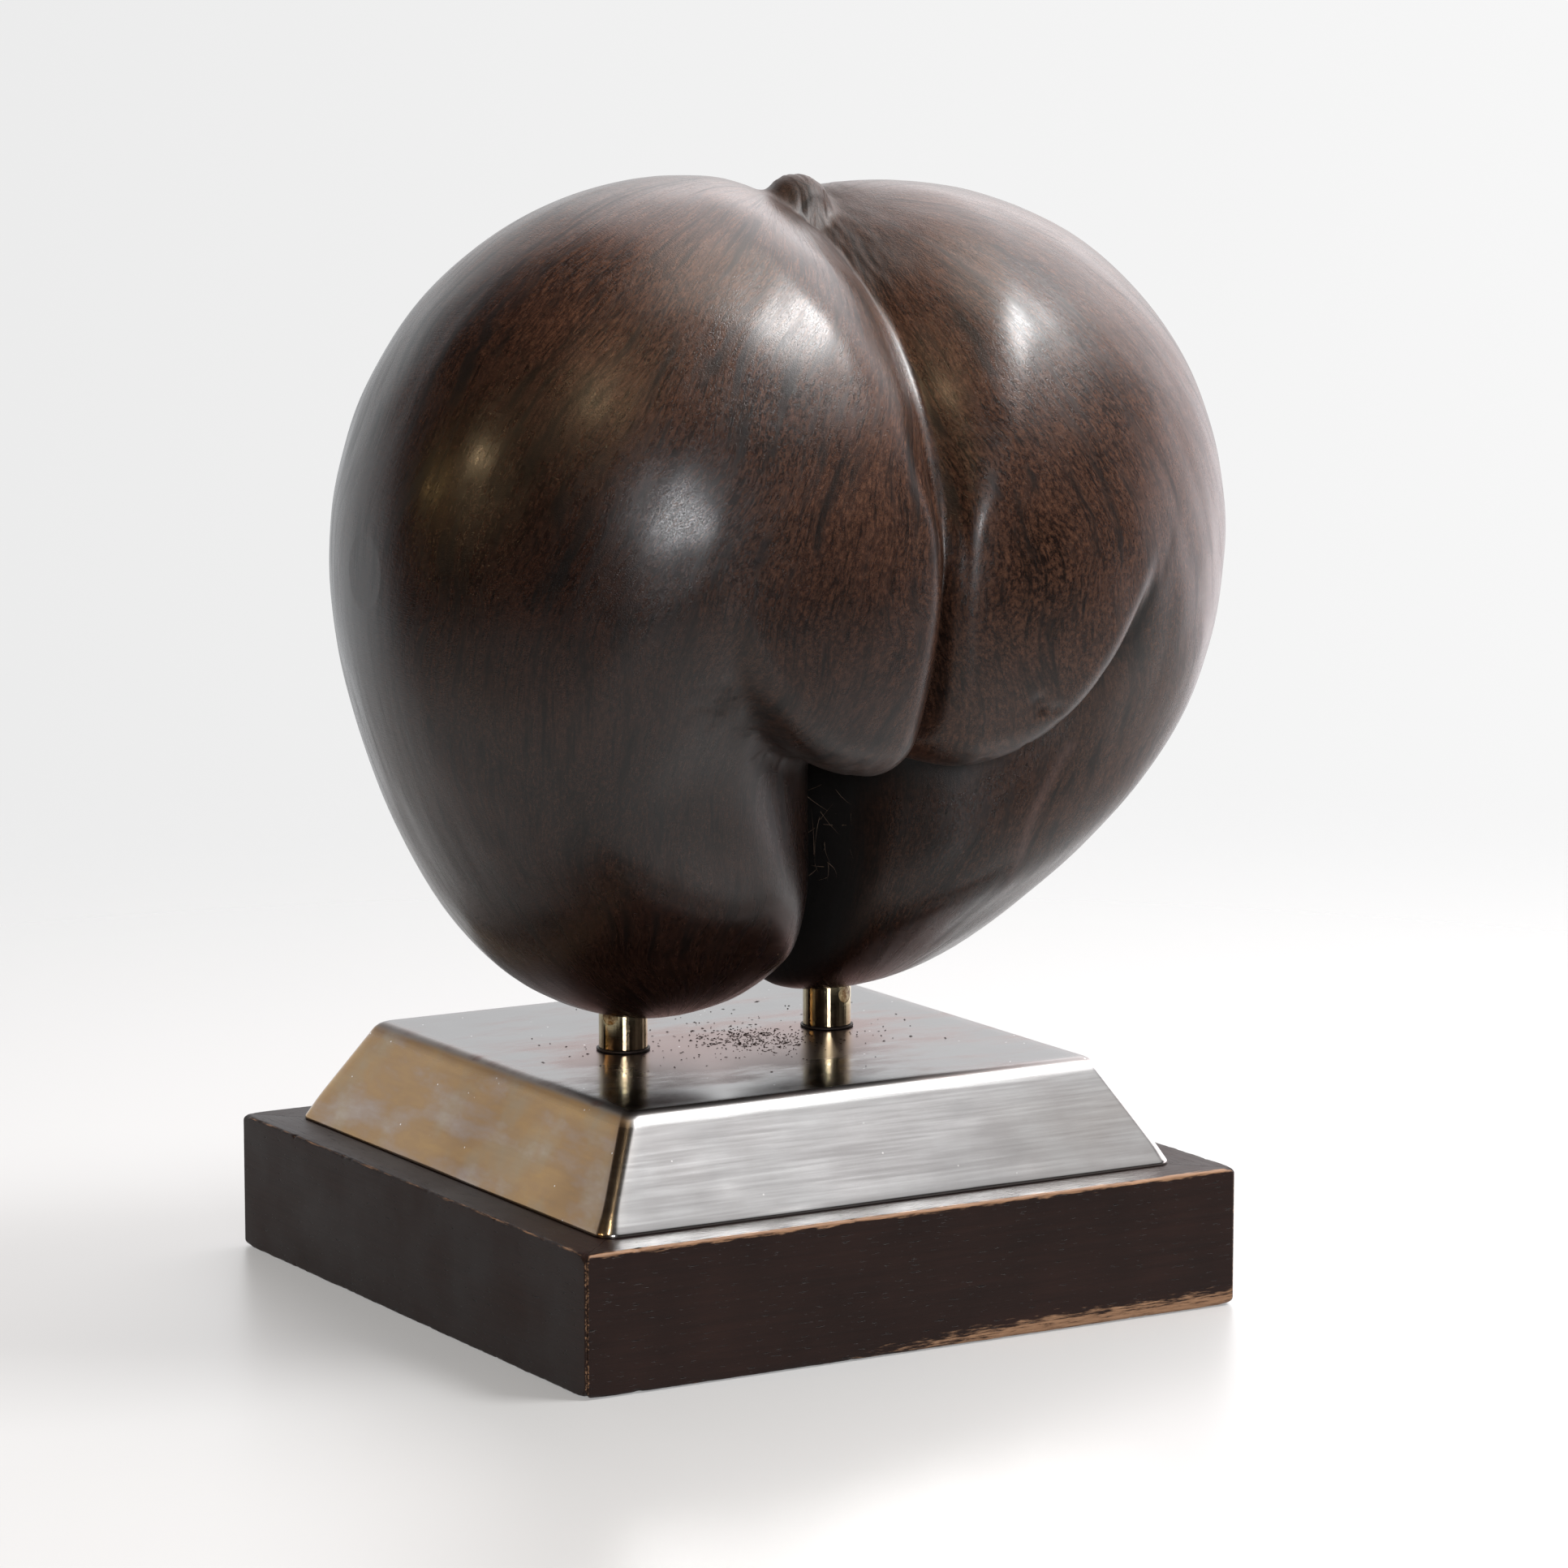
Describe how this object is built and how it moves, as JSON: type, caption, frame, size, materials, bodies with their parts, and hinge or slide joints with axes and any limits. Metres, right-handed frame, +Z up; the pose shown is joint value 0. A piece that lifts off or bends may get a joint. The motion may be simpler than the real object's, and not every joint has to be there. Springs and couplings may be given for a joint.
{
  "type": "mounted coco de mer seed",
  "caption": "Large two-lobed palm seed with a polished dark shell, held upright on short brass posts over a sloped metal cap on a square wood base.",
  "frame": {"origin": "centre of the base's underside, on the plane that stands on the table", "axes": "+X along the front side of the base toward the seed's right half, +Y toward the back of the seed, +Z up"},
  "size_m": [0.2985, 0.2616, 0.3654],
  "materials": {
    "shell": "polished and waxed",
    "base_wood": "ebonised, with worn edges",
    "core_board": "raw fibreboard",
    "cap_block": "raw softwood",
    "plated_sheet": "tarnished plated sheet",
    "post_brass": "polished",
    "foot_washer": "dark fibre",
    "zinc_steel": "zinc plated"
  },
  "bodies": {
    "root": {"seed": "shell", "wood_rail_front": "base_wood", "wood_rail_right": "base_wood", "wood_rail_back": "base_wood", "wood_rail_left": "base_wood", "base_core": "core_board", "metal_cap": "plated_sheet", "cap_core": "cap_block", "post_left": "post_brass", "post_right": "post_brass", "post_washer_left": "foot_washer", "post_washer_right": "foot_washer", "stud_left": "zinc_steel", "stud_right": "zinc_steel", "nut_left": "zinc_steel", "nut_right": "zinc_steel", "nut_washer_left": "zinc_steel", "nut_washer_right": "zinc_steel"}
  },
  "joints": []
}
